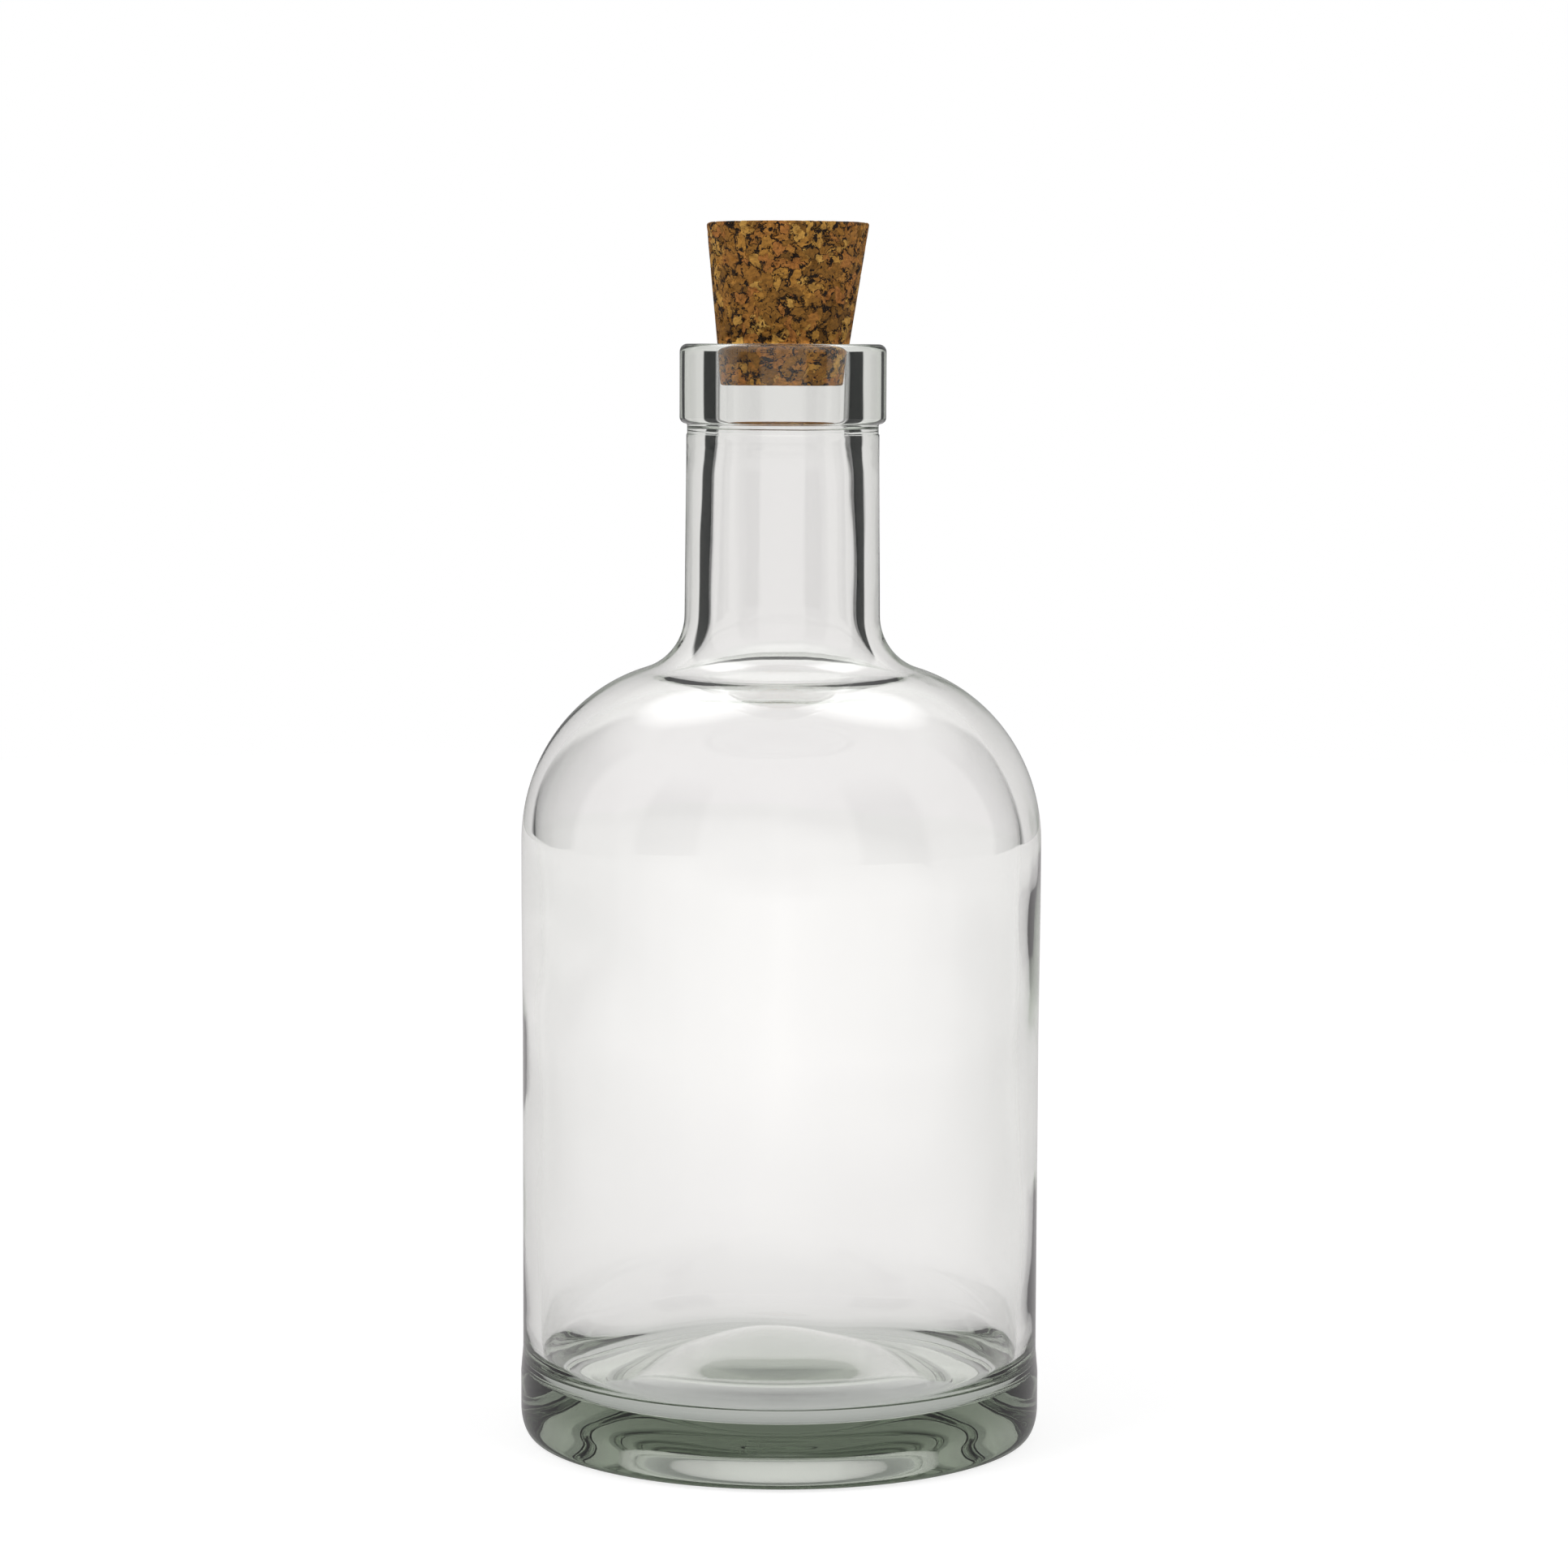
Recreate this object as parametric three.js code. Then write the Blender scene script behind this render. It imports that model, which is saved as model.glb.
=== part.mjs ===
// Corked glass bottle with a cylindrical body, a domed shoulder, a straight neck and a band finish.
// Millimetres, +Z up. The origin is the middle of the ring that the bottle stands on.
import * as THREE from 'three';

// Body, from the surface it stands on
const bodyRadius = 37.15; // widest, at the band round the heel
const heelReach = 1.7; // how far the heel's curve runs inward
const heelRise = 4.0; // and how far it runs up
const heelBandTop = 9.0;
const heelBlend = 3.5;
const panelRecess = 0.3; // the label panel lies this much inside the heel band
const shoulderSpring = 85.4; // height at which the shoulder starts to close in
const shoulderBandHeight = 9.0;
const shoulderBandRecess = 0.15;
const shoulderBlend = 18.4;

// Shoulder and neck
const shoulderReach = 24.3;
const shoulderRise = 25.5;
const neckFillet = 8.0;
const neckFootRadius = 13.85;
const neckTopRadius = 13.65;
const neckLength = 25.6; // from the end of the fillet to the parting line under the finish
const partingStep = 0.12;

// Band finish
const collarHeight = 1.4; // plain ring between the parting line and the band
const bandProud = 0.95; // how far the band stands out from the neck
const bandHeight = 11.2;
const bandFootRound = 0.9;
const rimRound = 1.1;
const lipRound = 0.8;

// Inside
const wall = 2.5;
const shoulderWall = 2.9;
const neckWall = 3.5;
const boreRadius = 9.55;
const boreLength = 12.6;
const boreFlare = 4.5; // length over which the bore opens into the neck

// Base
const bearingWidth = 4.9; // flat ring that the bottle stands on
const bearingRound = 1.5;
const pushUp = 8.5;
const baseThickness = 5.9; // glass over the top of the push-up
const floorRing = 8.0; // height of the lowest ring of the inside
const floorCorner = 5.5;

// Tapered cork, pressed into the mouth and cut a little askew
const corkClearance = 0.3;
const corkTaper = 0.123; // gain in radius for each millimetre of length
const corkGrip = 17.0; // length that stands out of the mouth
const corkReach = 5.8; // length inside the mouth
const corkEdge = 0.35;
const corkSkew = 0.0345;

const segments = 64;

// Points of an elliptical arc about (r, z), from one angle to another in degrees.
function arc(r, z, radiusR, radiusZ, from, to, steps) {
  const [start, end] = [from, to].map(THREE.MathUtils.degToRad);
  return new THREE.EllipseCurve(r, z, radiusR, radiusZ, start, end, end < start).getPoints(steps);
}

// Shoulder that closes in on an ellipse, then turns up into the neck with a tangent fillet.
function shoulderAndFillet(bodyR, reach, rise, neckR, fillet) {
  const centreR = bodyR - reach;
  const at = (t) => new THREE.Vector2(centreR + reach * Math.cos(t), shoulderSpring + rise * Math.sin(t));
  const normal = (t) => new THREE.Vector2(Math.cos(t) / reach, Math.sin(t) / rise).normalize();
  let [low, high] = [0, Math.PI / 2];
  for (let i = 0; i < 50; i++) {
    const t = (low + high) / 2;
    if (at(t).x + fillet * normal(t).x > neckR + fillet) low = t;
    else high = t;
  }
  const outward = normal(low);
  const centre = at(low).addScaledVector(outward, fillet);
  const turn = THREE.MathUtils.radToDeg(outward.angle());
  return [
    ...arc(centreR, shoulderSpring, reach, rise, 0, THREE.MathUtils.radToDeg(low), 10),
    ...arc(centre.x, centre.y, fillet, fillet, turn + 180, 180, 5).slice(1),
  ];
}

// Dome from the axis out to a small tangent round of the given radius and centre.
function domeAndRound(crown, roundR, roundZ, round, steps) {
  const drop = roundZ - crown;
  const radius = (roundR ** 2 + drop ** 2 - round ** 2) / (2 * (round - drop));
  const slope = THREE.MathUtils.radToDeg(Math.asin(roundR / (radius + round)));
  const dome = arc(0, crown - radius, radius, radius, 90, 90 - slope, steps);
  dome[0].x = 0;
  return { dome, slope };
}

// Outside of the glass, from the top of the push-up out over the heel and up to the rim
const footOuter = bodyRadius - heelReach;
const footInner = footOuter - bearingWidth;
const panelRadius = bodyRadius - panelRecess;
const shoulderRadius = bodyRadius - shoulderBandRecess;
const shoulderBandFoot = shoulderSpring - shoulderBandHeight;
const under = domeAndRound(pushUp, footInner, bearingRound, bearingRound, 4);
const outerShoulder = shoulderAndFillet(shoulderRadius, shoulderReach, shoulderRise, neckFootRadius, neckFillet);
const neckFoot = outerShoulder.at(-1).y;
const parting = neckFoot + neckLength;
const bandFoot = parting + collarHeight;
const bandRadius = neckTopRadius + bandProud;
const footRound = Math.min(bandFootRound, bandProud);
const mouth = bandFoot + bandHeight;
const outside = [
  ...under.dome,
  ...arc(footInner, bearingRound, bearingRound, bearingRound, 270 - under.slope, 270, 2).slice(1),
  ...arc(footOuter, heelRise, heelReach, heelRise, -90, 0, 5),
  new THREE.Vector2(bodyRadius, heelBandTop),
  new THREE.Vector2(panelRadius, heelBandTop + heelBlend),
  new THREE.Vector2(panelRadius, shoulderBandFoot - shoulderBlend),
  new THREE.Vector2(shoulderRadius, shoulderBandFoot),
  ...outerShoulder,
  new THREE.Vector2(neckTopRadius, parting - partingStep),
  new THREE.Vector2(neckTopRadius - partingStep, parting),
  new THREE.Vector2(neckTopRadius - partingStep, bandFoot),
  ...arc(bandRadius - footRound, bandFoot + footRound, footRound, footRound, -90, 0, 3),
  ...arc(bandRadius - rimRound, mouth - rimRound, rimRound, rimRound, 0, 90, 3),
];

// Inside of the glass, from the lip down the bore and the neck to the middle of the floor
const innerRadius = panelRadius - wall;
const innerNeckFoot = neckFootRadius - neckWall;
const innerNeckTop = neckTopRadius - neckWall;
const floor = domeAndRound(
  pushUp + baseThickness, innerRadius - floorCorner, floorRing + floorCorner, floorCorner, 4);
const innerReach = shoulderReach - (shoulderRadius - innerRadius);
const innerShoulder = shoulderAndFillet(
  innerRadius, innerReach, shoulderRise - shoulderWall, innerNeckFoot, neckFillet + neckWall);
const flare = [1 / 3, 2 / 3, 1].map((t) => new THREE.Vector2(
  THREE.MathUtils.lerp(boreRadius, innerNeckTop, THREE.MathUtils.smoothstep(t, 0, 1)),
  mouth - boreLength - t * boreFlare));
const inside = [
  ...arc(boreRadius + lipRound, mouth - lipRound, lipRound, lipRound, 90, 180, 3),
  new THREE.Vector2(boreRadius, mouth - boreLength),
  ...flare,
  ...innerShoulder.toReversed(),
  ...arc(innerRadius - floorCorner, floorRing + floorCorner, floorCorner, floorCorner,
    0, -90 - floor.slope, 6),
  ...floor.dome.toReversed().slice(1),
];

const glass = new THREE.MeshStandardMaterial({ color: 0xe3e9e6, roughness: 0.03, metalness: 0 });
const bottle = new THREE.Mesh(new THREE.LatheGeometry([...outside, ...inside], segments), glass);
bottle.geometry.rotateX(Math.PI / 2);
bottle.name = 'bottle';

// The cork's radius is set where it meets the foot of the lip's round, and the taper gives its two ends
const seat = mouth - lipRound;
const seatRadius = boreRadius - corkClearance;
const topZ = corkGrip + lipRound;
const bottomZ = lipRound - corkReach;
const corkRadius = (z) => seatRadius + corkTaper * z;
const corkProfile = [
  new THREE.Vector2(0, bottomZ),
  ...arc(corkRadius(bottomZ) - corkEdge, bottomZ + corkEdge, corkEdge, corkEdge, -90, 0, 2),
  new THREE.Vector2(seatRadius, 0),
  ...arc(corkRadius(topZ) - corkEdge, topZ - corkEdge, corkEdge, corkEdge, 0, 90, 2),
  new THREE.Vector2(0, topZ),
];
const corkMaterial = new THREE.MeshStandardMaterial({ color: 0xa8794a, roughness: 0.85, metalness: 0 });
const cork = new THREE.Mesh(new THREE.LatheGeometry(corkProfile, segments), corkMaterial);
cork.geometry.rotateX(Math.PI / 2);
cork.geometry.applyMatrix4(new THREE.Matrix4().makeShear(0, 0, 0, 0, corkSkew, 0));
cork.position.z = seat;
cork.name = 'cork_stopper';

const part = new THREE.Group();
part.add(bottle, cork);

export default part;
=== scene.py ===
"""Corked glass bottle: a clear moulded glass body closed by a tapered agglomerated cork.

Lengths in the classes are millimetres, as on a glassworks drawing, and each finished mesh is
scaled to metres.
"""

import logging
import math
from dataclasses import dataclass
from enum import Enum
from functools import partial
from typing import Any

import bmesh
import bpy
from mathutils import Matrix, Vector, noise


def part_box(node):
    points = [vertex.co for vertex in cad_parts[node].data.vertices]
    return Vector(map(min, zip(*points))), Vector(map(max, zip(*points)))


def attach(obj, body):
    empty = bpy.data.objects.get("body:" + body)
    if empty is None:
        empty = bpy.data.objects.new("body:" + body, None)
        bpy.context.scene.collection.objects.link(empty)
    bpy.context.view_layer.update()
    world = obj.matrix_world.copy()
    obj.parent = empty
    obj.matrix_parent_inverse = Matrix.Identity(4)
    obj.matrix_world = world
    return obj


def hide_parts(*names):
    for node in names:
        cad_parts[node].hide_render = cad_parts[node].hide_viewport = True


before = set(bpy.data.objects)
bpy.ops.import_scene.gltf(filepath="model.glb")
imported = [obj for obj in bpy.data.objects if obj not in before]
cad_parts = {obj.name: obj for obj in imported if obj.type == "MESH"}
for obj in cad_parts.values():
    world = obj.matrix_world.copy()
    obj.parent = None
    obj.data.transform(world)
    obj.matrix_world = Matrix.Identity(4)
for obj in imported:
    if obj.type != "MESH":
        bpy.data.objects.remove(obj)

log = logging.getLogger("bottle")

MM = 0.001
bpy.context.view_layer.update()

# position and sRGB hex colour of each stop, from low to high
Stops = tuple[tuple[float, str], ...]


class Mould(Enum):
    """Which side of the glass a vertex belongs to."""

    OUTSIDE = 0.0
    INSIDE = 1.0


class Ray(Enum):
    """Outputs of the Light Path node that the stage tells apart."""

    CAMERA = "Is Camera Ray"
    GLOSSY = "Is Glossy Ray"
    TRANSMISSION = "Is Transmission Ray"


def linear(colour: str) -> tuple[float, float, float, float]:
    """Turns an sRGB hex colour into linear light.

    Args:
        colour: six hex digits, such as "c9a777".

    Returns:
        Linear red, green and blue, and a full alpha.
    """
    parts = [int(colour[i : i + 2], 16) / 255 for i in (0, 2, 4)]
    red, green, blue = (p / 12.92 if p <= 0.04045 else ((p + 0.055) / 1.055) ** 2.4 for p in parts)
    return (red, green, blue, 1.0)


def rising(value: float, width: float) -> float:
    """Returns 0 below zero and 1 beyond the width, with a straight ramp in between."""
    return min(1.0, max(0.0, value / width))


def add_node(
    tree: bpy.types.NodeTree, kind: str, inputs: dict[Any, Any] | None = None, **settings: Any
) -> bpy.types.Node:
    """Adds a node with its settings, socket values and links.

    Args:
        tree: the node tree that takes the node.
        kind: the node's type name, without the leading "ShaderNode".
        inputs: by socket name or number, a value, an output socket to link from, or a node to
            link from by its first output.
        settings: properties of the node itself.

    Returns:
        The new node.
    """
    node = tree.nodes.new(f"ShaderNode{kind}")
    for name, value in settings.items():
        setattr(node, name, value)
    for name, value in (inputs or {}).items():
        if isinstance(value, bpy.types.Node):
            value = value.outputs[0]
        if isinstance(value, bpy.types.NodeSocket):
            tree.links.new(value, node.inputs[name])
        else:
            node.inputs[name].default_value = value
    return node


def fill_ramp(node: bpy.types.Node, stops: Stops) -> bpy.types.Node:
    """Sets the stops of a Color Ramp node.

    Args:
        node: the Color Ramp node.
        stops: position and colour of each stop.

    Returns:
        The same node.
    """
    ramp = node.color_ramp
    while len(ramp.elements) < len(stops):
        ramp.elements.new(1.0)
    for element, (position, colour) in zip(ramp.elements, stops):
        element.position = position
        element.color = linear(colour)
    return node


class Outline:
    """Half of a turned shape's section, drawn as a chain of vertices in the XZ plane."""

    def __init__(self, mesh: bmesh.types.BMesh, r: float, z: float) -> None:
        """Starts the chain.

        Args:
            mesh: the mesh that takes the vertices.
            r: distance of the first vertex from the axis.
            z: its height.
        """
        self.mesh = mesh
        self.tip = mesh.verts.new((r, 0.0, z))

    def line(self, r: float, z: float, steps: int = 1) -> "Outline":
        """Draws a straight line from the tip.

        Args:
            r: distance of the line's end from the axis.
            z: its height.
            steps: how many edges the line has.

        Returns:
            This outline, so that calls can be chained.
        """
        start, end = self.tip.co.copy(), Vector((r, 0.0, z))
        for step in range(1, steps + 1):
            made = bmesh.ops.extrude_vert_indiv(self.mesh, verts=[self.tip])
            self.tip = made["verts"][0]
            self.tip.co = start.lerp(end, step / steps)
        return self

    def arc(self, r: float, z: float, turn: float, steps: int, stretch: float = 1.0) -> "Outline":
        """Draws an arc from the tip round a centre.

        Args:
            r: distance of the centre from the axis.
            z: height of the centre.
            turn: angle in degrees, positive from outward to upward.
            steps: how many edges the arc has.
            stretch: height of the arc's ellipse over its width.

        Returns:
            This outline, so that calls can be chained.
        """
        centre = Vector((r, 0.0, z))
        to_round = Matrix.Diagonal((1, 1, 1 / stretch, 1))
        back = Matrix.Diagonal((1, 1, stretch, 1))
        space = Matrix.Translation(-centre)
        start = self.tip
        before = set(self.mesh.verts)
        bmesh.ops.transform(self.mesh, matrix=to_round, space=space, verts=[start])
        made = bmesh.ops.spin(
            self.mesh,
            geom=[start],
            cent=centre,
            axis=(0, -1, 0),
            angle=math.radians(turn),
            steps=steps,
            use_duplicate=False,
        )
        self.tip = next(item for item in made["geom_last"] if isinstance(item, bmesh.types.BMVert))
        drawn = [start] + [vert for vert in self.mesh.verts if vert not in before]
        bmesh.ops.transform(self.mesh, matrix=back, space=space, verts=drawn)
        return self

    def turned(self, steps: int) -> None:
        """Spins the chain into a closed body round the Z axis.

        Args:
            steps: how many faces go round.
        """
        bmesh.ops.spin(
            self.mesh,
            geom=list(self.mesh.verts) + list(self.mesh.edges),
            cent=(0, 0, 0),
            axis=(0, 0, 1),
            angle=math.tau,
            steps=steps,
            use_merge=True,
        )
        bmesh.ops.remove_doubles(self.mesh, verts=self.mesh.verts, dist=1e-4)
        bmesh.ops.recalc_face_normals(self.mesh, faces=self.mesh.faces)


def finished(
    mesh: bmesh.types.BMesh, name: str, material: bpy.types.Material
) -> bpy.types.Object:
    """Turns a modelled mesh into a smooth-shaded object in metres at the origin.

    Args:
        mesh: the modelled mesh, in millimetres.
        name: name of the new object.
        material: its finish.

    Returns:
        The new object, linked to the scene.
    """
    bmesh.ops.scale(mesh, vec=(MM, MM, MM), verts=mesh.verts)
    for face in mesh.faces:
        face.smooth = True
    data = bpy.data.meshes.new(name)
    mesh.to_mesh(data)
    mesh.free()
    data.materials.append(material)
    piece = bpy.data.objects.new(name, data)
    bpy.context.scene.collection.objects.link(piece)
    return piece


def blank_material(name: str) -> bpy.types.Material:
    """Makes a node material without any node.

    Args:
        name: name of the new material.

    Returns:
        The new material.
    """
    material = bpy.data.materials.new(name)
    material.use_nodes = True
    material.node_tree.nodes.clear()
    return material


@dataclass(frozen=True)
class FlintGlass:
    """Soda-lime container glass, fire-polished: hard clear gloss, green only where it is thick."""

    ior: float = 1.52
    roughness: float = 0.0
    tint: str = "9cab95"
    density: float = 42.0
    ripple: float = 9.09
    ripple_strength: float = 0.015

    def material(self) -> bpy.types.Material:
        """Builds the finish.

        Returns:
            The material, clear at the surface and tinted by its thickness.
        """
        material = blank_material("flint_glass")
        add = partial(add_node, material.node_tree)
        place = add("TexCoord").outputs["Object"]
        # the mould's skin leaves a slow ripple, seen only as a soft bend of what lies behind
        ripple = add(
            "TexNoise",
            {"Vector": place, "Scale": 1 / (self.ripple * MM), "Detail": 2.0, "Roughness": 0.4},
        )
        skin = add("Bump", {"Strength": self.ripple_strength, "Distance": MM, "Height": ripple})
        # clear glass has no colour of its own at the surface: what the eye gets there is gloss
        surface = add(
            "BsdfPrincipled",
            {
                "Base Color": (1.0, 1.0, 1.0, 1.0),
                "Roughness": self.roughness,
                "IOR": self.ior,
                "Transmission Weight": 1.0,
                "Normal": skin,
            },
        )
        # iron in the melt: a wall of 2.5 mm stays clear, and the thick base turns grey-green
        body = add("VolumeAbsorption", {"Color": linear(self.tint), "Density": self.density})
        add("OutputMaterial", {"Surface": surface, "Volume": body})
        return material


@dataclass(frozen=True)
class AgglomeratedCork:
    """Granulated cork pressed with binder and ground: matt tan and red-brown chips, with painted
    shade in the gaps and pits.
    """

    grain: float = 1.75
    speck: float = 0.4
    pit: float = 2 / 3
    # painted shade: the near-black colour of the gaps and pits between chips
    painted_gap_shade: str = "1d1006"
    bark: Stops = (
        (0.0, "6f4a16"),
        (0.12, "845a20"),
        (0.42, "976726"),
        (0.65, "a4692f"),
        (0.85, "ab7930"),
        (1.0, "c4974a"),
    )
    roughness: float = 0.82
    # painted light: heights between which the cork's colour is brightened inside the mouth, and by
    # how much
    painted_light_from: float = 156.6
    painted_light_below: float = 155.6
    painted_light_gain: float = 2.2

    def material(self) -> bpy.types.Material:
        """Builds the finish.

        Returns:
            The material, with chips about as wide as the grain.
        """
        material = blank_material("agglomerated_cork")
        tree = material.node_tree
        add = partial(add_node, tree)
        place = add("TexCoord").outputs["Object"]
        size = 1 / (self.grain * MM)
        torn = self.shifted(tree, self.shifted(tree, place, 0.55 * size, 2.4), 2.6 * size, 0.9)
        chips = add("TexVoronoi", {"Vector": torn, "Scale": size}).outputs["Color"]
        cells = self.cells(tree, place, chips)
        solid = self.solid(tree, place, torn, size)
        # the chips come from different bark, so each has a tone of its own
        tone = add("SeparateColor", {"Color": chips}).outputs["Red"]
        hue = fill_ramp(add("ValToRGB", {"Fac": tone}), self.bark)
        mottle = add(
            "MapRange",
            {"Value": cells, "From Min": 0.3, "From Max": 0.7, "To Min": 0.46, "To Max": 1.26},
        )
        mottled = add("VectorMath", {0: hue, "Scale": mottle}, operation="SCALE")
        # painted shade: the gaps and pits get a near-black colour, for the shade that falls in them
        shade = add(
            "Mix",
            {"Factor": solid, "A": linear(self.painted_gap_shade), "B": mottled},
            data_type="RGBA",
        )
        # painted light: below the mouth, where the cork sits inside the glass, its colour is
        # brightened up to 2.2 times to lift the shade there
        height = add("SeparateXYZ", {"Vector": place}).outputs["Z"]
        painted_light = add(
            "MapRange",
            {
                "Value": height,
                "From Min": self.painted_light_from * MM,
                "From Max": self.painted_light_below * MM,
                "To Min": 1.0,
                "To Max": self.painted_light_gain,
            },
        )
        lit = add("VectorMath", {0: shade.outputs["Result"], "Scale": painted_light}, operation="SCALE")
        # ground cork is dull: a fine grain and open gaps break up what little gloss it has
        fine = add("Bump", {"Strength": 0.5, "Distance": 0.2 * MM, "Height": cells})
        relief = add(
            "Bump", {"Strength": 0.9, "Distance": 0.5 * MM, "Height": solid, "Normal": fine}
        )
        surface = add(
            "BsdfPrincipled",
            {
                "Base Color": lit,
                "Roughness": self.roughness,
                "Specular IOR Level": 0.35,
                "Normal": relief,
            },
        )
        add("OutputMaterial", {"Surface": surface})
        return material

    def cells(
        self, tree: bpy.types.NodeTree, place: bpy.types.NodeSocket, chips: bpy.types.NodeSocket
    ) -> bpy.types.Node:
        """Gives every chip fine streaks of its own direction, as each is cut another way.

        Args:
            tree: the material's node tree.
            place: the coordinates.
            chips: a random colour for each chip.

        Returns:
            A noise from 0 to 1.
        """
        add = partial(add_node, tree)
        spread = add("VectorMath", {0: chips, "Scale": 6.0}, operation="SCALE")
        twist = add(
            "VectorRotate", {"Vector": place, "Rotation": spread}, rotation_type="EULER_XYZ"
        )
        drawn = add("VectorMath", {0: twist, 1: (1.0, 1.0, 0.3)}, operation="MULTIPLY")
        return add(
            "TexNoise",
            {"Vector": drawn, "Scale": 1 / (self.speck * MM), "Detail": 6.0, "Roughness": 0.7},
        )

    def solid(
        self,
        tree: bpy.types.NodeTree,
        place: bpy.types.NodeSocket,
        torn: bpy.types.NodeSocket,
        size: float,
    ) -> bpy.types.Node:
        """Tells the chips from the gaps between them, which gape in some patches and not in others.

        Args:
            tree: the material's node tree.
            place: the coordinates.
            torn: the coordinates with torn outlines.
            size: the chips' scale.

        Returns:
            1 on a chip and 0 in a gap or pit.
        """
        add = partial(add_node, tree)
        edge = add("TexVoronoi", {"Vector": torn, "Scale": size}, feature="DISTANCE_TO_EDGE")
        patch = add("TexNoise", {"Vector": place, "Scale": 1.3 * size, "Detail": 3.0})
        wide = add(
            "MapRange",
            {"Value": patch, "From Min": 0.42, "From Max": 0.62, "To Min": 0.01, "To Max": 0.24},
        )
        depth = add("MapRange", {"Value": edge, "From Min": 0.0, "From Max": wide})
        crisp = add("MapRange", {"Value": depth, "From Min": 0.25, "From Max": 0.5})
        pits = add(
            "TexNoise",
            {"Vector": torn, "Scale": 1 / (self.pit * MM), "Detail": 3.0, "Roughness": 0.6},
        )
        pit = add("MapRange", {"Value": pits, "From Min": 0.335, "From Max": 0.36})
        return add("Math", {0: crisp, 1: pit}, operation="MULTIPLY")

    def shifted(
        self, tree: bpy.types.NodeTree, place: bpy.types.NodeSocket, scale: float, reach: float
    ) -> bpy.types.NodeSocket:
        """Shifts coordinates by a noise, so that chips get torn outlines.

        Args:
            tree: the material's node tree.
            place: the coordinates.
            scale: the noise's scale.
            reach: largest shift, in millimetres.

        Returns:
            The shifted coordinates.
        """
        add = partial(add_node, tree)
        bend = add("TexNoise", {"Vector": place, "Scale": scale, "Detail": 3.0, "Roughness": 0.6})
        shift = add(
            "VectorMath", {0: bend.outputs["Color"], 1: (0.5, 0.5, 0.5)}, operation="SUBTRACT"
        )
        offset = add("VectorMath", {0: shift, "Scale": 2 * reach * MM}, operation="SCALE")
        return add("VectorMath", {0: place, 1: offset}, operation="ADD").outputs["Vector"]


@dataclass(frozen=True)
class Wave:
    """One of the waves that the blow leaves in the inner wall."""

    turn: float
    rise: float
    start: tuple[float, float, float]
    body: float
    neck: float

    def shift(self, around: Vector, height: float, neck: float) -> float:
        """Measures the wave at a place.

        Args:
            around: unit vector from the axis to the place.
            height: its height.
            neck: 0 on the body and 1 on the neck.

        Returns:
            The shift away from the axis, in millimetres.
        """
        where = Vector((around.x * self.turn, around.y * self.turn, height * self.rise))
        depth = self.body + (self.neck - self.body) * neck
        return noise.noise(where + Vector(self.start)) * depth


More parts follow.
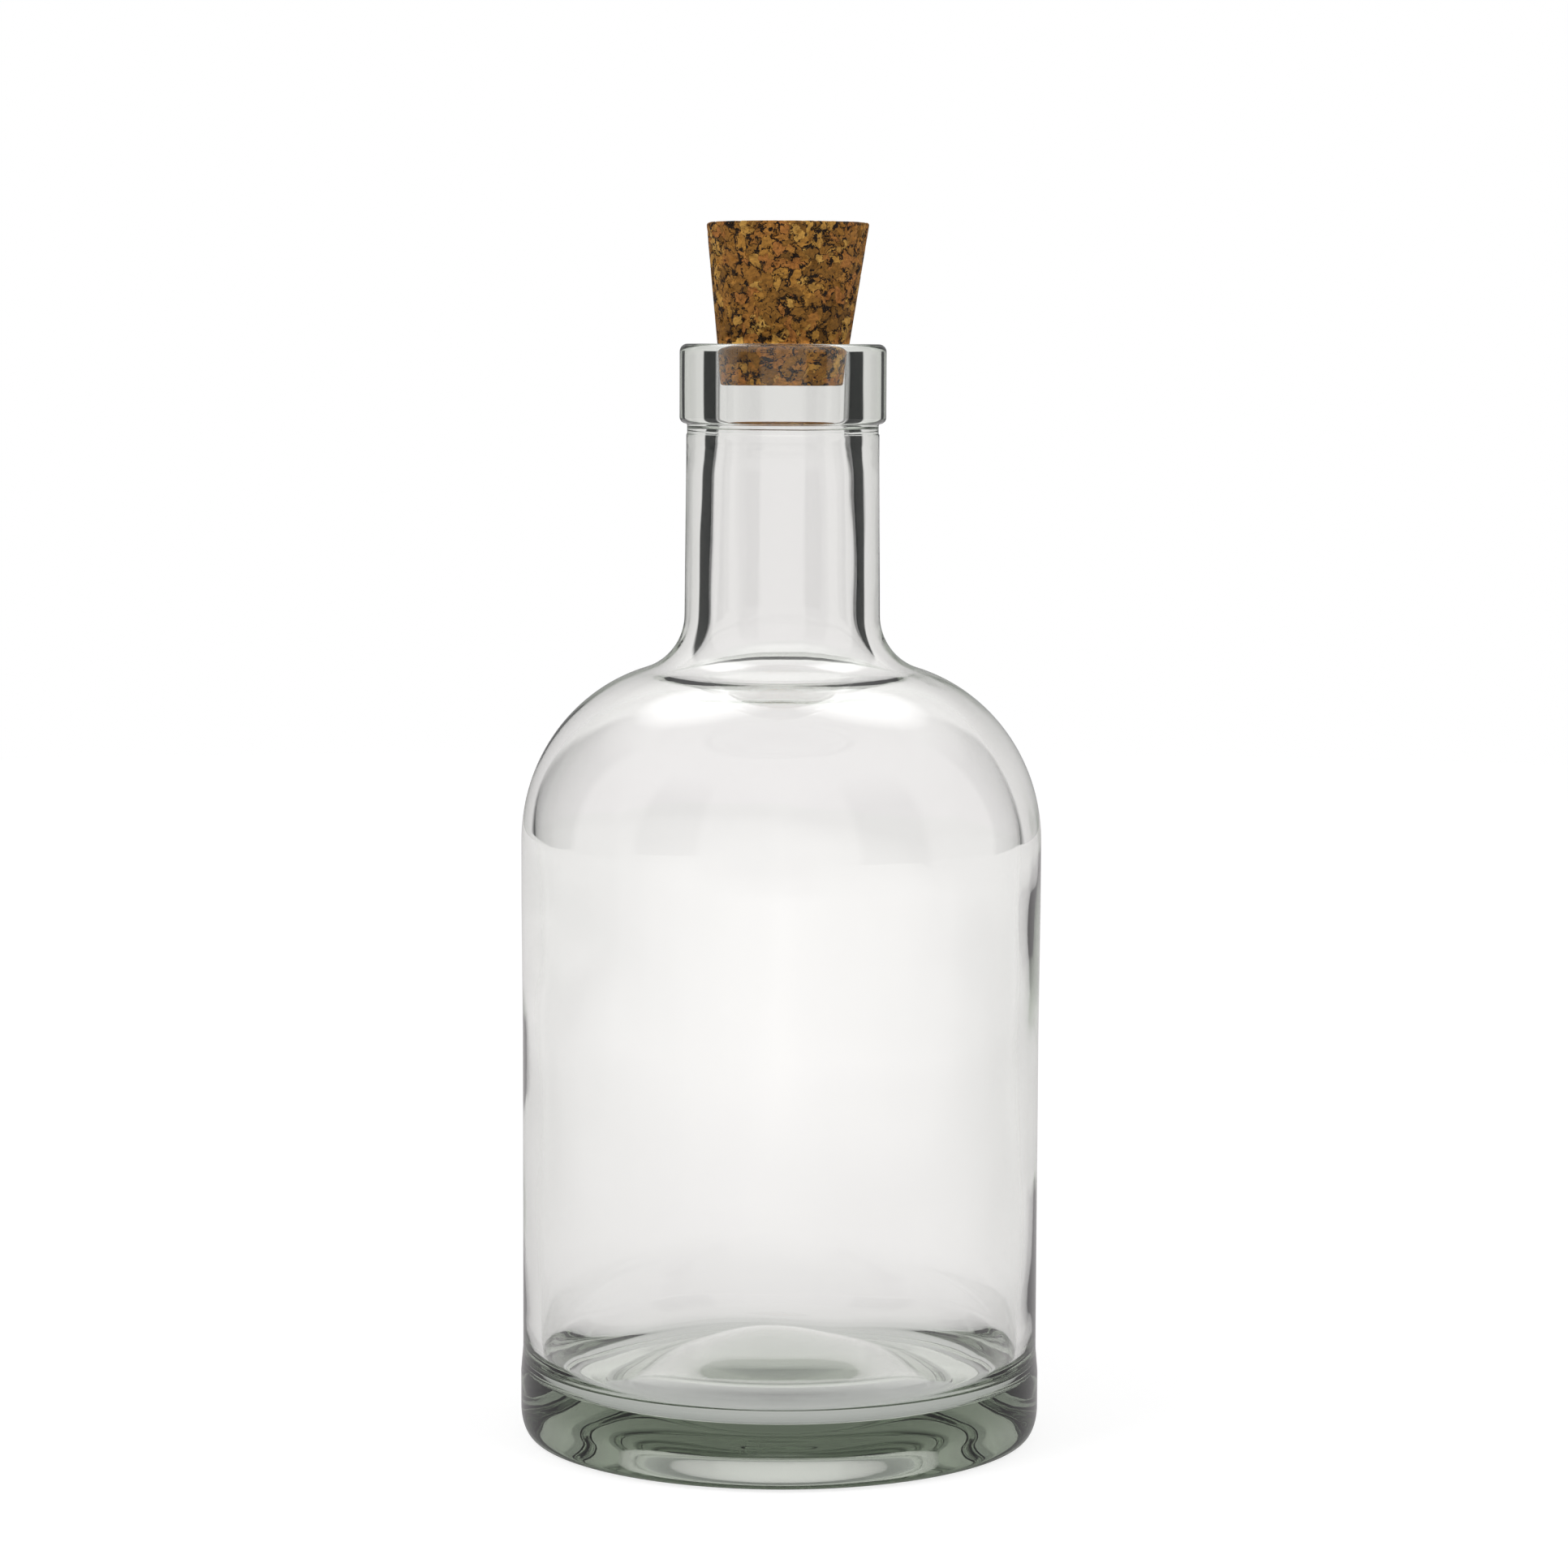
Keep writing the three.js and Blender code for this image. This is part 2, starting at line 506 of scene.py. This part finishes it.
@dataclass
class GlassBottle:
    """The bottle: band finish, neck, domed shoulder, body with label panel, heel and push-up."""

    finish: FlintGlass

    # body and heel
    body_radius: float = 37.15
    heel_reach: float = 1.7
    heel_rise: float = 4.0
    heel_band_top: float = 9.0
    heel_blend: float = 3.5
    panel_recess: float = 0.3

    # shoulder
    shoulder_spring: float = 85.4
    shoulder_band: float = 9.0
    shoulder_recess: float = 0.15
    shoulder_blend: float = 18.4
    shoulder_reach: float = 24.3
    shoulder_rise: float = 25.5

    # neck, with a faint ring where the neck ring of the mould ends
    neck_fillet: float = 8.0
    neck_foot_radius: float = 13.85
    neck_top_radius: float = 13.65
    neck_length: float = 25.6
    ring_drop: float = 2.7
    ring_half: float = 0.5
    ring_proud: float = 0.012

    # finish
    parting_step: float = 0.12
    collar: float = 1.4
    collar_fillet: float = 0.25
    band_proud: float = 0.95
    band_height: float = 11.2
    band_foot_round: float = 0.9
    rim_round: float = 1.1
    lip_round: float = 0.8

    # inside
    wall: float = 2.5
    shoulder_wall: float = 2.9
    neck_wall: float = 3.5
    bore_radius: float = 9.42
    bore_length: float = 10.6
    bore_flare: float = 8.5

    # base
    bearing_width: float = 4.9
    bearing_round: float = 1.5
    push_up: float = 8.5
    base_thickness: float = 5.9
    floor_ring: float = 8.0
    floor_corner: float = 5.5

    # uneven inner wall: long and short waves that fade out before floor and mouth, and fine lines
    slow: Wave = Wave(turn=1.1, rise=0.035, start=(3.1, 0.4, 7.7), body=0.40, neck=0.16)
    quick: Wave = Wave(turn=2.6, rise=0.11, start=(9.4, 2.2, 1.3), body=0.09, neck=0.04)
    fine: Wave = Wave(turn=8.0, rise=0.02, start=(5.5, 6.1, 0.2), body=0.015, neck=0.015)
    still_floor: float = 15.0
    still_mouth: float = 4.0
    still_blend: float = 10.0
    neck_from: float = 100.0
    neck_blend: float = 15.0

    # edges along the section's parts, and faces round the axis
    steps_round: int = 256
    steps_small: int = 8
    steps_fillet: int = 16
    steps_dome: int = 24
    steps_wall: int = 32
    steps_shoulder: int = 36

    def shoulder_join(
        self, body: float, reach: float, rise: float, neck: float, fillet: float
    ) -> tuple[float, float, float, float]:
        """Finds where the shoulder's ellipse hands over to the neck's fillet.

        Args:
            body: radius of the body below the shoulder.
            reach: horizontal half axis of the ellipse.
            rise: vertical half axis of the ellipse.
            neck: radius of the neck above the fillet.
            fillet: radius of the fillet.

        Returns:
            The ellipse's angle, the direction of its normal there, both in radians, and the
            fillet's centre.
        """
        low, high = 0.0, math.pi / 2
        for _ in range(50):
            t = (low + high) / 2
            normal = Vector((math.cos(t) / reach, math.sin(t) / rise)).normalized()
            if body - reach + reach * math.cos(t) + fillet * normal.x > neck + fillet:
                low = t
            else:
                high = t
        r = body - reach + reach * math.cos(low) + fillet * normal.x
        z = self.shoulder_spring + rise * math.sin(low) + fillet * normal.y
        return low, math.atan2(normal.y, normal.x), r, z

    def dome(self, crown: float, r: float, z: float, small: float) -> tuple[float, float]:
        """Fits a dome on the axis to a small round beside it.

        Args:
            crown: height of the dome's top.
            r: distance of the small round's centre from the axis.
            z: height of that centre.
            small: radius of the small round.

        Returns:
            The dome's radius, and its slope in degrees where the two meet.
        """
        drop = z - crown
        radius = (r**2 + drop**2 - small**2) / (2 * (small - drop))
        return radius, math.degrees(math.asin(r / (radius + small)))

    def draw_body(self, section: Outline) -> None:
        """Draws the outer outline from the push-up's top to the neck's foot.

        Args:
            section: the outline, with its tip on the push-up's top.
        """
        foot = self.body_radius - self.heel_reach
        inner_foot = foot - self.bearing_width
        panel = self.body_radius - self.panel_recess
        shoulder = self.body_radius - self.shoulder_recess
        small = self.bearing_round
        radius, slope = self.dome(self.push_up, inner_foot, small, small)
        section.arc(0.0, self.push_up - radius, -slope, self.steps_dome)
        section.arc(inner_foot, small, slope, self.steps_small)
        section.line(foot, 0.0, self.steps_small)
        section.tip.co.z = 0.0
        stretch = self.heel_rise / self.heel_reach
        section.arc(foot, self.heel_rise, 90.0, self.steps_fillet, stretch)
        section.line(self.body_radius, self.heel_band_top, 3)
        section.line(panel, self.heel_band_top + self.heel_blend, 3)
        band_foot = self.shoulder_spring - self.shoulder_band
        section.line(panel, band_foot - self.shoulder_blend, 12)
        section.line(shoulder, band_foot, 6)
        section.line(shoulder, self.shoulder_spring, 3)
        reach, rise = self.shoulder_reach, self.shoulder_rise
        join, normal, r, z = self.shoulder_join(
            shoulder, reach, rise, self.neck_foot_radius, self.neck_fillet
        )
        section.arc(
            shoulder - reach,
            self.shoulder_spring,
            math.degrees(join),
            self.steps_shoulder,
            rise / reach,
        )
        section.arc(r, z, -math.degrees(normal), self.steps_fillet)
        self.parting = z + self.neck_length

    def draw_finish(self, section: Outline) -> None:
        """Draws the outer outline from the neck's foot to the rim.

        Args:
            section: the outline, with its tip on the neck's foot.
        """
        neck, ring = self.neck_top_radius, self.parting - self.ring_drop
        section.line(neck, ring - self.ring_half, self.steps_small)
        section.line(neck + self.ring_proud, ring, 2)
        section.line(neck, ring + self.ring_half, 2)
        section.line(neck, self.parting - self.parting_step, 2)
        collar = neck - self.parting_step
        section.line(collar, self.parting, 2)
        foot = self.parting + self.collar
        section.line(collar, foot - self.collar_fillet, 2)
        section.arc(collar + self.collar_fillet, foot - self.collar_fillet, -90.0, 3)
        band = neck + self.band_proud
        small = self.band_foot_round
        section.line(band - small, foot)
        section.arc(band - small, foot + small, 90.0, self.steps_small)
        self.mouth = foot + self.band_height
        section.line(band, self.mouth - self.rim_round, 3)
        section.arc(band - self.rim_round, self.mouth - self.rim_round, 90.0, 10)

    def draw_bore(self, section: Outline) -> None:
        """Draws the inner outline from the rim to where the bore has opened into the neck.

        Args:
            section: the outline, with its tip on the rim.
        """
        lip = self.bore_radius + self.lip_round
        bore_end = self.mouth - self.bore_length
        section.line(lip, self.mouth, 2)
        section.arc(lip, self.mouth - self.lip_round, 90.0, self.steps_small)
        section.line(self.bore_radius, bore_end, self.steps_small)
        widening = self.neck_top_radius - self.neck_wall - self.bore_radius
        for step in range(1, self.steps_small + 1):
            t = step / self.steps_small
            ease = t * t * (3 - 2 * t)
            section.line(self.bore_radius + widening * ease, bore_end - t * self.bore_flare)

    def draw_cavity(self, section: Outline) -> None:
        """Draws the inner outline from the neck down to the middle of the floor.

        Args:
            section: the outline, with its tip at the end of the bore's flare.
        """
        neck = self.neck_foot_radius - self.neck_wall
        inner = self.body_radius - self.panel_recess - self.wall
        reach = self.shoulder_reach - (self.body_radius - self.shoulder_recess - inner)
        rise = self.shoulder_rise - self.shoulder_wall
        join, normal, r, z = self.shoulder_join(
            inner, reach, rise, neck, self.neck_fillet + self.neck_wall
        )
        section.line(neck, z, self.steps_fillet)
        section.arc(r, z, math.degrees(normal), self.steps_fillet)
        section.arc(
            inner - reach,
            self.shoulder_spring,
            -math.degrees(join),
            self.steps_shoulder,
            rise / reach,
        )
        corner_z = self.floor_ring + self.floor_corner
        section.line(inner, corner_z, self.steps_wall)
        edge = inner - self.floor_corner
        section.arc(edge, corner_z, -90.0, self.steps_fillet)
        # the floor swells to its crown in a bell, level at the corner and on the axis
        swell = (self.push_up + self.base_thickness - self.floor_ring) / 2
        for step in range(self.steps_wall - 1, -1, -1):
            share = step / self.steps_wall
            section.line(edge * share, self.floor_ring + swell * (1 + math.cos(math.pi * share)))
        section.tip.co.x = 0.0

    def blown(self, mesh: bmesh.types.BMesh, side: bmesh.types.BMLayerItem) -> None:
        """Gives the inside the uneven wall that the blow leaves, and the outside none of it.

        Args:
            mesh: the spun mesh, in millimetres.
            side: the layer that says which side a vertex is on.
        """
        for vert in mesh.verts:
            radius = math.hypot(vert.co.x, vert.co.y)
            if vert[side] < Mould.INSIDE.value / 2 or radius < 1.0:
                continue
            height = vert.co.z
            above = rising(height - self.still_floor, self.still_blend)
            below = rising(self.mouth - self.still_mouth - height, self.still_blend)
            neck = rising(height - self.neck_from, self.neck_blend)
            around = Vector((vert.co.x, vert.co.y, 0.0)) / radius
            place = (around, height, neck)
            waves = self.slow.shift(*place) + self.quick.shift(*place)
            shift = above * (self.fine.shift(*place) + below * waves)
            vert.co.x += around.x * shift
            vert.co.y += around.y * shift

    def build(self) -> bpy.types.Object:
        """Models the bottle and dresses it.

        Returns:
            The bottle's object.
        """
        mesh = bmesh.new()
        side = mesh.verts.layers.float.new("side")
        section = Outline(mesh, 0.0, self.push_up)
        self.draw_body(section)
        self.draw_finish(section)
        outer = set(mesh.verts)
        self.draw_bore(section)
        self.draw_cavity(section)
        for vert in mesh.verts:
            vert[side] = (Mould.OUTSIDE if vert in outer else Mould.INSIDE).value
        section.turned(self.steps_round)
        self.blown(mesh, side)
        mesh.verts.layers.float.remove(side)
        piece = finished(mesh, "glass_bottle", self.finish.material())
        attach(piece, "bottle")
        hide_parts("bottle")
        return piece


@dataclass
class CorkStopper:
    """The tapered cork, pressed into the mouth and cut a little askew."""

    finish: AgglomeratedCork
    taper: float = 0.123
    seat_radius: float = 9.25
    skew: float = 0.0345
    edge: float = 0.35

    # surface: cracks between chips, which open in patches, and pits
    chip: float = 2.1
    crack_width: float = 0.16
    crack_depth: float = 0.55
    pit_depth: float = 1.125
    deepest: float = 0.5

    # edges along the section's parts, and faces round the axis
    steps_round: int = 256
    steps_bottom: int = 30
    steps_side: int = 96
    steps_top: int = 36

    def build(self, mouth: float, lip: float) -> bpy.types.Object:
        """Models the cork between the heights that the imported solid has, and dresses it.

        Args:
            mouth: height of the bottle's mouth.
            lip: radius of the lip's round, below which the cork is seated.

        Returns:
            The cork's object.
        """
        low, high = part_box("cork_stopper")
        bottom, top = low[2] / MM, high[2] / MM
        seat, edge = mouth - lip, self.edge
        small = self.seat_radius + self.taper * (bottom - seat)
        large = self.seat_radius + self.taper * (top - seat)
        mesh = bmesh.new()
        section = Outline(mesh, 0.0, bottom)
        section.line(small - edge, bottom, self.steps_bottom)
        section.arc(small - edge, bottom + edge, 90.0, 3)
        section.line(large, top - edge, self.steps_side)
        section.arc(large - edge, top - edge, 90.0, 3)
        section.line(0.0, top, self.steps_top)
        section.turned(self.steps_round)
        self.crumble(mesh)
        lean = Matrix.Identity(4)
        lean[0][2], lean[0][3] = self.skew, -self.skew * seat
        bmesh.ops.transform(mesh, matrix=lean, verts=mesh.verts)
        piece = finished(mesh, "cork", self.finish.material())
        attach(piece, "stopper")
        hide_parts("cork_stopper")
        return piece

    def crumble(self, mesh: bmesh.types.BMesh) -> None:
        """Presses the pits and torn corners of real cork into the surface.

        Args:
            mesh: the spun mesh, in millimetres.
        """
        mesh.normal_update()
        moves = []
        for vert in mesh.verts:
            nearest, second = noise.voronoi(vert.co / self.chip)[0][:2]
            crack = max(0.0, 1.0 - (second - nearest) / self.crack_width)
            patch = max(0.0, noise.noise(vert.co * 0.5 + Vector((4.0, 1.0, 2.0))) + 0.15)
            pit = max(0.0, noise.noise(vert.co * 1.4) - 0.28)
            depth = self.crack_depth * crack * patch + self.pit_depth * pit
            moves.append(-vert.normal * min(self.deepest, depth))
        for vert, move in zip(mesh.verts, moves):
            vert.co += move


@dataclass
class Studio:
    """The plain pale stage: floor, sky, two soft lamps and the camera at the photograph's angle."""

    # camera
    distance: float = 640.0
    eye: float = 155.0
    aside: float = 0.35
    pitch: float = 5.5
    roll: float = 0.22
    focal_pixels: float = 5564.0
    frame_pixels: float = 1932.0

    # strength of the sky as light, and as the glass bends it
    fill_light: float = 0.62
    backdrop_gain: float = 1.24
    flank: str = "101214"
    backdrop: Stops = ((0.0, "e9e5e7"), (0.35, "ece8ea"), (0.6, "fbf8f9"), (1.0, "fefcfd"))
    mirror: Stops = ((0.0, "848484"), (0.5, "929292"), (0.75, "ececec"), (1.0, "ffffff"))
    patch: tuple[float, float, float] = (0.30, 0.38, 0.87)
    patch_gain: float = 4.5

    # floor, a little below the bottle so that no faces coincide
    floor_radius: float = 1100.0
    floor_drop: float = 0.3
    floor_gain: float = 1.16
    floor_glow: float = 1.25
    floor_white: float = 0.6
    floor_gloss: float = 0.6
    # painted shade: how much the floor, as the glass sees it, is dimmed off the middle lines
    painted_dim_depth: float = 0.2
    # painted shade: the floor as the glass sees it, by distance from the bottle in metres: a
    # painted shadow darkest under the bottle, brightest from 0.36 to 0.66 m, and darker again far
    # off
    painted_floor_shade: Stops = (
        (0.0, "7c7d7c"),
        (0.018, "a0a1a0"),
        (0.033, "c0c0c0"),
        (0.045, "e2dfe0"),
        (0.15, "f3f0f1"),
        (0.36, "fffcfd"),
        (0.66, "fffcfd"),
        (0.90, "eeebec"),
        (1.0, "eeebec"),
    )

    def camera(self) -> None:
        """Places the camera."""
        data = bpy.data.cameras.new("camera")
        data.sensor_width = 36.0
        data.lens = self.focal_pixels / self.frame_pixels * data.sensor_width
        data.clip_start = 0.01
        camera = bpy.data.objects.new("camera", data)
        place = Matrix.Translation(Vector((self.aside, -self.distance, self.eye)) * MM)
        pitch = Matrix.Rotation(math.radians(90.0 - self.pitch), 4, "X")
        roll = Matrix.Rotation(math.radians(self.roll), 4, "Z")
        camera.matrix_world = place @ pitch @ roll
        bpy.context.scene.collection.objects.link(camera)
        bpy.context.scene.camera = camera

    def sky(self) -> None:
        """Lights the stage evenly, and gives the glass a pale backdrop with dark flanks to bend."""
        world = bpy.data.worlds.new("studio")
        bpy.context.scene.world = world
        world.use_nodes = True
        tree = world.node_tree
        tree.nodes.clear()
        add = partial(add_node, tree)
        axes = add("SeparateXYZ", {"Vector": add("TexCoord").outputs["Generated"]}).outputs
        height = add("MapRange", {"Value": axes["Z"], "From Min": -0.1, "From Max": 1.0})
        backdrop = fill_ramp(add("ValToRGB", {"Fac": height}), self.backdrop)
        mirror = fill_ramp(add("ValToRGB", {"Fac": height}), self.mirror)
        seen = add(
            "Mix",
            {
                "Factor": self.flanks(tree, axes),
                "A": backdrop,
                "B": linear(self.flank),
            },
            data_type="RGBA",
        ).outputs["Result"]
        white = linear("ffffff")
        light = add("Background", {"Color": white, "Strength": self.fill_light})
        plain = add("Background", {"Color": white, "Strength": 1.0})
        bent = add("Background", {"Color": seen, "Strength": self.backdrop_gain})
        shine = add("Background", {"Color": mirror, "Strength": self.highlights(tree, axes)})
        # a ray bent by the glass counts as glossy too, so transmission is told apart after gloss
        path = add("LightPath").outputs
        glossy = add("MixShader", {"Fac": path[Ray.GLOSSY.value], 1: light, 2: shine})
        through = add("MixShader", {"Fac": path[Ray.TRANSMISSION.value], 1: glossy, 2: bent})
        direct = add("MixShader", {"Fac": path[Ray.CAMERA.value], 1: through, 2: plain})
        add("OutputWorld", {"Surface": direct})

    def flanks(self, tree: bpy.types.NodeTree, axes: bpy.types.NodeOutputs) -> bpy.types.Node:
        """Stands a dark flank at either side of the backdrop, off overhead.

        Args:
            tree: the world's node tree.
            axes: outputs with the three parts of the direction.

        Returns:
            1 in the flanks and 0 elsewhere.
        """
        add = partial(add_node, tree)
        flat = add("CombineXYZ", {"X": axes["X"], "Y": axes["Y"]})
        level = add("VectorMath", {0: flat}, operation="LENGTH").outputs["Value"]
        aside = add("Math", {0: axes["X"]}, operation="ABSOLUTE")
        share = add("Math", {0: aside, 1: level}, operation="DIVIDE")
        rise = add("MapRange", {"Value": share, "From Min": 0.56, "From Max": 0.62})
        fall = add("MapRange", {"Value": share, "From Min": 0.95, "From Max": 0.92})
        low = add("MapRange", {"Value": axes["Z"], "From Min": 0.75, "From Max": 0.5})
        flank = add("Math", {0: rise, 1: fall}, operation="MULTIPLY")
        return add("Math", {0: flank, 1: low}, operation="MULTIPLY")

    def highlights(self, tree: bpy.types.NodeTree, axes: bpy.types.NodeOutputs) -> bpy.types.Node:
        """Gives the gloss two soft overhead patches, a little behind the bottle.

        Args:
            tree: the world's node tree.
            axes: outputs with the three parts of the direction.

        Returns:
            The strength of the sky in that direction.
        """
        add = partial(add_node, tree)
        aside = add("Math", {0: axes["X"]}, operation="ABSOLUTE")
        folded = add("CombineXYZ", {"X": aside, "Y": axes["Y"], "Z": axes["Z"]})
        centre = tuple(Vector(self.patch).normalized())
        near = add("VectorMath", {0: folded, 1: centre}, operation="DOT_PRODUCT").outputs["Value"]
        return add(
            "MapRange",
            {
                "Value": near,
                "From Min": 0.945,
                "From Max": 0.988,
                "To Min": 1.0,
                "To Max": self.patch_gain,
            },
        )

    def painted_floor_dimming(self, tree: bpy.types.NodeTree, place: bpy.types.NodeSocket) -> bpy.types.Node:
        """Paints shade on the floor as the glass sees it: dims it off the middle lines, up to about
        a metre away.

        Args:
            tree: the floor's node tree.
            place: the coordinates.

        Returns:
            The strength that is left.
        """
        add = partial(add_node, tree)
        parts = add("SeparateXYZ", {"Vector": place}).outputs
        across, along = (add("Math", {0: parts[axis]}, operation="ABSOLUTE") for axis in "XY")
        lateral = add("Math", {0: across, 1: along}, operation="MINIMUM")
        smooth = {"interpolation_type": "SMOOTHSTEP"}
        fade = add(
            "MapRange", {"Value": lateral, "From Max": 0.11, "To Max": self.painted_dim_depth}, **smooth
        )
        away = add("VectorMath", {0: place}, operation="LENGTH").outputs["Value"]
        near = add("MapRange", {"Value": away, "From Min": 0.95, "From Max": 0.5}, **smooth)
        lost = add("Math", {0: fade, 1: near}, operation="MULTIPLY")
        return add("Math", {0: self.floor_gain, 1: lost}, operation="SUBTRACT")

    def sweep(self) -> bpy.types.Material:
        """Paints the floor.

        Returns:
            White card to the camera, with a faint shadow, and, as the glass sees it, a card with
            painted shade: a painted shadow under the bottle, and darker again far off.
        """
        material = blank_material("white_sweep")
        tree = material.node_tree
        add = partial(add_node, tree)
        place = add("TexCoord").outputs["Object"]
        away = add("VectorMath", {0: place}, operation="LENGTH").outputs["Value"]
        reach = add("MapRange", {"Value": away, "From Max": 1.0})
        painted_floor_shade = fill_ramp(add("ValToRGB", {"Fac": reach}), self.painted_floor_shade)
        # matt white card: an even pale field without any shine
        matt = add("BsdfDiffuse", {"Color": linear("f4f4f4")})
        glow = add("Emission", {"Color": linear("ffffff"), "Strength": self.floor_glow})
        # painted shadow and shade on the floor as the glass and its reflections see it
        bent = add("Emission", {"Color": painted_floor_shade, "Strength": self.painted_floor_dimming(tree, place)})
        dull = add("Emission", {"Color": painted_floor_shade, "Strength": self.floor_gloss})
        path = add("LightPath").outputs
        white = add("MixShader", {"Fac": self.floor_white, 1: matt, 2: glow})
        direct = add("MixShader", {"Fac": path[Ray.CAMERA.value], 1: matt, 2: white})
        glossy = add("MixShader", {"Fac": path[Ray.GLOSSY.value], 1: direct, 2: dull})
        through = add("MixShader", {"Fac": path[Ray.TRANSMISSION.value], 1: glossy, 2: bent})
        add("OutputMaterial", {"Surface": through})
        return material

    def floor(self) -> None:
        """Lays the round floor."""
        mesh = bmesh.new()
        bmesh.ops.create_circle(mesh, cap_ends=True, segments=96, radius=self.floor_radius)
        bmesh.ops.translate(mesh, vec=(0.0, 0.0, -self.floor_drop), verts=mesh.verts)
        finished(mesh, "floor", self.sweep())

    def lamp(self, name: str, place: tuple[float, float, float], side: float, power: float) -> None:
        """Hangs a soft square lamp that faces the bottle and shows neither in nor through glass.

        Args:
            name: name of the lamp.
            place: where it hangs, in metres.
            side: its width, in metres.
            power: its power, in watts.
        """
        data = bpy.data.lights.new(name, "AREA")
        data.shape = "RECTANGLE"
        data.size = data.size_y = side
        data.energy = power
        lamp = bpy.data.objects.new(name, data)
        lamp.location = place
        aim = Vector((0.0, 0.0, 0.1)) - Vector(place)
        lamp.rotation_euler = aim.to_track_quat("-Z", "Y").to_euler()
        lamp.visible_glossy = lamp.visible_transmission = False
        bpy.context.scene.collection.objects.link(lamp)

    def build(self) -> None:
        """Sets up the whole stage."""
        self.camera()
        self.sky()
        self.floor()
        self.lamp("softbox_left", (-0.9, -0.7, 1.1), 0.7, 7.0)
        self.lamp("softbox_right", (0.9, -0.7, 1.1), 0.7, 5.0)
        scene = bpy.context.scene
        scene.view_settings.view_transform = "Standard"
        # light crosses up to a dozen glass faces, and many more inside the thick base
        scene.cycles.max_bounces = 40
        scene.cycles.transmission_bounces = 32
        scene.cycles.glossy_bounces = 12


def main() -> None:
    """Builds the stage and each piece, in order."""
    logging.basicConfig(level=logging.INFO, format="%(name)s: %(message)s")
    Studio().build()
    log.info("stage: floor, sky, lamps and camera")
    bottle = GlassBottle(FlintGlass())
    glass = bottle.build()
    log.info("glass bottle: %d faces, mouth at %.2f mm", len(glass.data.polygons), bottle.mouth)
    cork = CorkStopper(AgglomeratedCork()).build(bottle.mouth, bottle.lip_round)
    log.info("cork: %d faces", len(cork.data.polygons))


if __name__ == "__main__":
    main()
